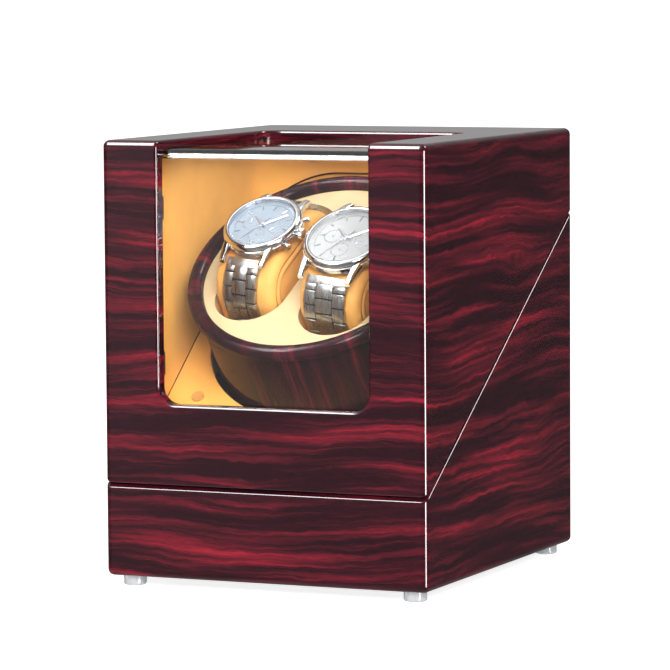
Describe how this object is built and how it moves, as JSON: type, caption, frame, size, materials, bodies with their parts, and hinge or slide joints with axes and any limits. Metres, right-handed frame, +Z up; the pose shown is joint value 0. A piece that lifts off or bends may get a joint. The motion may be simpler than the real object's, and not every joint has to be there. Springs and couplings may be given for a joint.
{
  "type": "watch winder box",
  "caption": "Lacquered wooden watch winder box: a hinged lid with a bent clear window over a tilted motor-driven turntable that holds watches on cushions.",
  "frame": {"origin": "middle of the whole box on the plane that its feet stand on", "axes": "+X to the right seen from the front, +Y from the windowed front to the hinged back, +Z up"},
  "size_m": [0.16, 0.1848, 0.205],
  "materials": {
    "lacquered_wood": "high-gloss lacquered ebony-grain veneer, dark maroon with red streaks",
    "drum_wood": "high-gloss lacquered ebony-grain veneer on the turntable",
    "panel_board": "black painted board",
    "screw_steel": "plated steel screws",
    "clear_bumper": "translucent soft bumper",
    "black_velvet": "black flocked strip",
    "magnet_steel": "nickel-plated magnet",
    "camel_lining": "camel leatherette lining",
    "acrylic": "clear polished acrylic",
    "black_plastic": "moulded black plastic",
    "hinge_brass": "polished brass",
    "turned_steel": "turned steel",
    "bush_bronze": "sintered bronze",
    "gear_plastic": "moulded acetal",
    "hub_alloy": "turned aluminium",
    "motor_can": "plated motor can",
    "belt_rubber": "black rubber belt",
    "face_leather": "cream leatherette face",
    "well_lining": "camel leatherette pocket lining",
    "cushion_leather": "camel leatherette cushion",
    "watch_steel": "brushed and polished stainless steel",
    "watch_dial_blue": "sunburst ice-blue dial",
    "watch_dial_silver": "silver-white dial",
    "watch_crystal": "clear mineral crystal",
    "rocker_black": "glossy black rocker",
    "circuit_board": "green circuit board with parts",
    "post_nylon": "nylon board posts",
    "lead_sleeve": "black sleeved lead"
  },
  "bodies": {
    "base": {"base_case": "lacquered_wood", "bottom_panel": "panel_board", "bottom_screws": "screw_steel", "feet": "clear_bumper", "rim_gasket": "black_velvet", "base_magnets": "magnet_steel", "deck_tray": "camel_lining", "hinge_base_leaves": "hinge_brass", "hinge_pins": "hinge_brass", "hinge_screws_base": "hinge_brass", "drive_chassis": "black_plastic", "chassis_screws": "screw_steel", "idler_pin": "turned_steel", "upper_bush": "bush_bronze", "lower_bush": "bush_bronze", "gear_motor": "motor_can", "motor_screws": "screw_steel", "drive_belt": "belt_rubber", "rear_plate": "black_plastic", "plate_screws": "screw_steel", "rocker_frame": "black_plastic", "mode_switch": "black_plastic", "power_jack": "black_plastic", "control_board": "circuit_board", "board_posts": "post_nylon", "motor_lead": "lead_sleeve", "power_lead": "lead_sleeve"},
    "lid": {"lid_shell": "lacquered_wood", "window": "acrylic", "window_cleats": "black_plastic", "cleat_screws": "screw_steel", "lid_liner": "camel_lining", "lid_magnets": "magnet_steel", "hinge_lid_leaves": "hinge_brass", "hinge_screws_lid": "hinge_brass"},
    "turntable": {"drum": "drum_wood", "rim_ring": "drum_wood", "face_plate": "face_leather", "hub_flange": "hub_alloy", "hub_screws": "screw_steel", "turntable_shaft": "turned_steel", "retaining_clip": "turned_steel", "output_gear": "gear_plastic", "slot_well_left": "well_lining", "slot_well_right": "well_lining"},
    "cushion_left_body": {"cushion_left": "cushion_leather", "watch_left_case": "watch_steel", "watch_left_dial": "watch_dial_blue", "watch_left_crystal": "watch_crystal", "watch_left_bracelet": "watch_steel"},
    "cushion_right_body": {"cushion_right": "cushion_leather", "watch_right_case": "watch_steel", "watch_right_dial": "watch_dial_silver", "watch_right_crystal": "watch_crystal", "watch_right_bracelet": "watch_steel"},
    "idler_body": {"idler": "gear_plastic"},
    "motor_rotor": {"motor_pulley": "gear_plastic", "motor_shaft": "turned_steel"},
    "mode_knob_body": {"mode_knob": "black_plastic"},
    "rocker_body": {"rocker": "rocker_black"}
  },
  "joints": [
    {"name": "lid_hinge", "type": "hinge", "parent": "base", "child": "lid", "pos_m": [0, 0.08962, 0.1658], "axis": [-1, 0, 0], "range_deg": [0, 85]},
    {"name": "turntable_spin", "type": "hinge", "parent": "base", "child": "turntable", "pos_m": [0, -0.00677, 0.11445], "axis": [0, -0.6157, 0.788], "continuous": true},
    {"name": "idler_spin", "type": "hinge", "parent": "base", "child": "idler_body", "pos_m": [0, -0.0383, 0.08982], "axis": [0, -0.6157, 0.788], "continuous": true},
    {"name": "motor_spin", "type": "hinge", "parent": "base", "child": "motor_rotor", "pos_m": [-0.038, -0.05721, 0.07504], "axis": [0, -0.6157, 0.788], "continuous": true},
    {"name": "cushion_left_lift", "type": "slide", "parent": "turntable", "child": "cushion_left_body", "axis": [0, -0.6157, 0.788], "range_m": [0, 0.006]},
    {"name": "cushion_right_lift", "type": "slide", "parent": "turntable", "child": "cushion_right_body", "axis": [0, -0.6157, 0.788], "range_m": [0, 0.006]},
    {"name": "mode_knob_turn", "type": "hinge", "parent": "base", "child": "mode_knob_body", "pos_m": [-0.021, 0.08313, 0.057], "axis": [0, 1, 0], "range_deg": [0, 270]},
    {"name": "rocker_tip", "type": "hinge", "parent": "base", "child": "rocker_body", "pos_m": [0.001, 0.08063, 0.057], "axis": [-1, 0, 0], "range_deg": [0, 18]}
  ],
  "couplings": [
    {"joint": "idler_spin", "follows": "turntable_spin", "ratio": -4},
    {"joint": "motor_spin", "follows": "turntable_spin", "ratio": -18}
  ]
}
